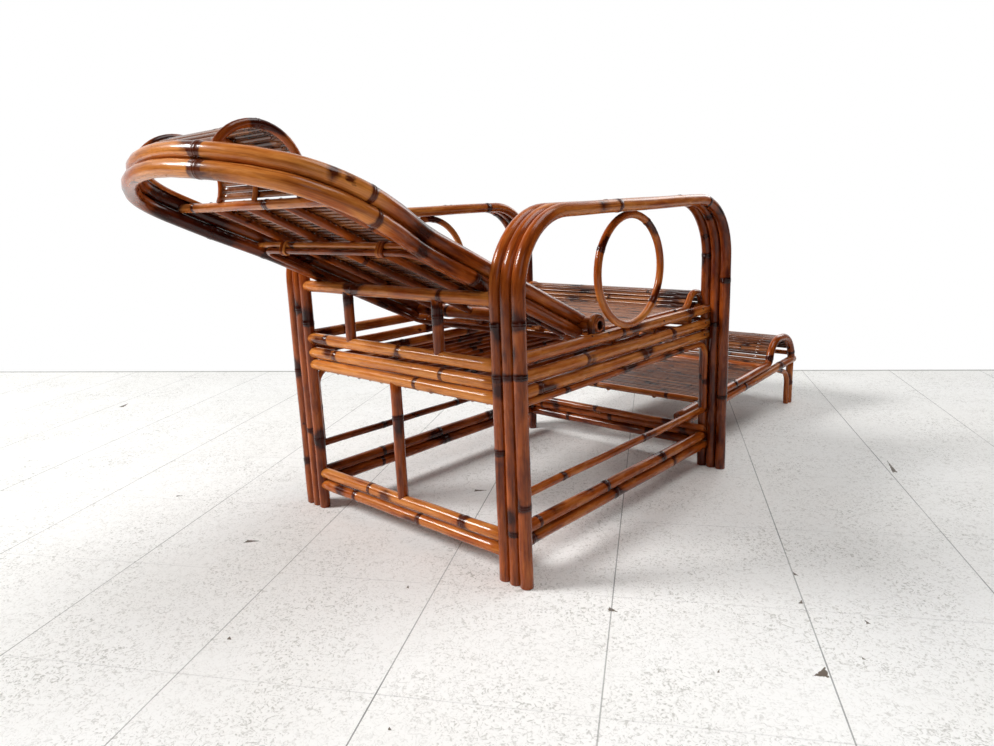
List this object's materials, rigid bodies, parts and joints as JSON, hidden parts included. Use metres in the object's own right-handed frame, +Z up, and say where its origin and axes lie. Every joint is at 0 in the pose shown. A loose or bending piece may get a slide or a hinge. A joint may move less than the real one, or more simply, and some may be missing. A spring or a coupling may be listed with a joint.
{
  "type": "reclining lounge chair",
  "caption": "Bent rattan lounge chair with a slatted reclining back, headrest roll, swinging prop loop and a slide-out slatted footrest.",
  "frame": {"origin": "on the floor under the middle of the whole chair with the back down and the footrest out", "axes": "+Z up, +Y towards the footrest, +X towards the sitter's right"},
  "size_m": [0.666, 1.8675, 0.7792],
  "materials": {
    "arch_brace_left": "gloss varnish",
    "arch_brace_right": "gloss varnish",
    "arm_loop_left_inner": "gloss varnish",
    "arm_loop_left_middle": "gloss varnish",
    "arm_loop_left_outer": "gloss varnish",
    "arm_loop_right_inner": "gloss varnish",
    "arm_loop_right_middle": "gloss varnish",
    "arm_loop_right_outer": "gloss varnish",
    "arm_ring_left": "gloss varnish",
    "arm_ring_right": "gloss varnish",
    "back_battens": "gloss varnish",
    "back_crossbar_lower": "gloss varnish",
    "back_crossbar_upper": "gloss varnish",
    "back_edge_poles": "gloss varnish",
    "back_hoop_front": "gloss varnish",
    "back_hoop_rear": "gloss varnish",
    "back_slats": "gloss varnish",
    "footrest_battens": "gloss varnish",
    "footrest_braces": "gloss varnish",
    "footrest_crossbars": "gloss varnish",
    "footrest_legs": "gloss varnish",
    "footrest_rail_left": "gloss varnish",
    "footrest_rail_right": "gloss varnish",
    "footrest_side_pole_left": "gloss varnish",
    "footrest_side_pole_right": "gloss varnish",
    "footrest_slats": "gloss varnish",
    "front_seat_rails": "gloss varnish",
    "front_stretchers": "gloss varnish",
    "headrest_arch_left": "gloss varnish",
    "headrest_arch_right": "gloss varnish",
    "headrest_rib": "gloss varnish",
    "headrest_slats": "gloss varnish",
    "lower_rail_left": "gloss varnish",
    "lower_rail_right": "gloss varnish",
    "pivot_bar": "gloss varnish",
    "pivot_strap_left": "gloss varnish",
    "pivot_strap_right": "gloss varnish",
    "prop_hoop": "gloss varnish",
    "prop_lashings": "gloss varnish",
    "rear_post": "gloss varnish",
    "rear_seat_rails": "gloss varnish",
    "rear_spindles": "gloss varnish",
    "rear_stretchers": "gloss varnish",
    "rear_top_rail": "gloss varnish",
    "seat_battens": "gloss varnish",
    "seat_cross_rails": "gloss varnish",
    "seat_deck_poles": "gloss varnish",
    "seat_rail_left_second": "gloss varnish",
    "seat_rail_left_third": "gloss varnish",
    "seat_rail_left_top": "gloss varnish",
    "seat_rail_right_second": "gloss varnish",
    "seat_rail_right_third": "gloss varnish",
    "seat_rail_right_top": "gloss varnish",
    "seat_side_pole_left": "gloss varnish",
    "seat_side_pole_right": "gloss varnish",
    "seat_slats": "gloss varnish",
    "side_stretchers_left": "gloss varnish",
    "side_stretchers_right": "gloss varnish"
  },
  "bodies": {
    "frame": {"arch_brace_left": "arch_brace_left", "arch_brace_right": "arch_brace_right", "arm_loop_left_inner": "arm_loop_left_inner", "arm_loop_left_middle": "arm_loop_left_middle", "arm_loop_left_outer": "arm_loop_left_outer", "arm_loop_right_inner": "arm_loop_right_inner", "arm_loop_right_middle": "arm_loop_right_middle", "arm_loop_right_outer": "arm_loop_right_outer", "arm_ring_left": "arm_ring_left", "arm_ring_right": "arm_ring_right", "front_seat_rails": "front_seat_rails", "front_stretchers": "front_stretchers", "lower_rail_left": "lower_rail_left", "lower_rail_right": "lower_rail_right", "pivot_strap_left": "pivot_strap_left", "pivot_strap_right": "pivot_strap_right", "rear_post": "rear_post", "rear_seat_rails": "rear_seat_rails", "rear_spindles": "rear_spindles", "rear_stretchers": "rear_stretchers", "rear_top_rail": "rear_top_rail", "seat_battens": "seat_battens", "seat_cross_rails": "seat_cross_rails", "seat_deck_poles": "seat_deck_poles", "seat_rail_left_second": "seat_rail_left_second", "seat_rail_left_third": "seat_rail_left_third", "seat_rail_left_top": "seat_rail_left_top", "seat_rail_right_second": "seat_rail_right_second", "seat_rail_right_third": "seat_rail_right_third", "seat_rail_right_top": "seat_rail_right_top", "seat_side_pole_left": "seat_side_pole_left", "seat_side_pole_right": "seat_side_pole_right", "seat_slats": "seat_slats", "side_stretchers_left": "side_stretchers_left", "side_stretchers_right": "side_stretchers_right"},
    "back": {"back_battens": "back_battens", "back_crossbar_lower": "back_crossbar_lower", "back_crossbar_upper": "back_crossbar_upper", "back_edge_poles": "back_edge_poles", "back_hoop_front": "back_hoop_front", "back_hoop_rear": "back_hoop_rear", "back_slats": "back_slats", "headrest_arch_left": "headrest_arch_left", "headrest_arch_right": "headrest_arch_right", "headrest_rib": "headrest_rib", "headrest_slats": "headrest_slats", "pivot_bar": "pivot_bar", "prop_lashings": "prop_lashings"},
    "prop": {"prop_hoop": "prop_hoop"},
    "footrest": {"footrest_battens": "footrest_battens", "footrest_braces": "footrest_braces", "footrest_crossbars": "footrest_crossbars", "footrest_legs": "footrest_legs", "footrest_rail_left": "footrest_rail_left", "footrest_rail_right": "footrest_rail_right", "footrest_side_pole_left": "footrest_side_pole_left", "footrest_side_pole_right": "footrest_side_pole_right", "footrest_slats": "footrest_slats"}
  },
  "joints": [
    {"name": "back_recline", "type": "hinge", "parent": "frame", "child": "back", "pos_m": [0, -0.22685, 0.4186], "axis": [-1, 0, 0], "range_deg": [0, 45]},
    {"name": "prop_swing", "type": "hinge", "parent": "back", "child": "prop", "pos_m": [0, -0.63504, 0.58314], "axis": [-1, 0, 0], "range_deg": [0, 32]},
    {"name": "footrest_slide", "type": "slide", "parent": "frame", "child": "footrest", "axis": [0, 1, 0], "range_m": [-0.63, 0]}
  ],
  "couplings": [
    {"joint": "prop_swing", "follows": "back_recline", "ratio": 0.69405}
  ]
}
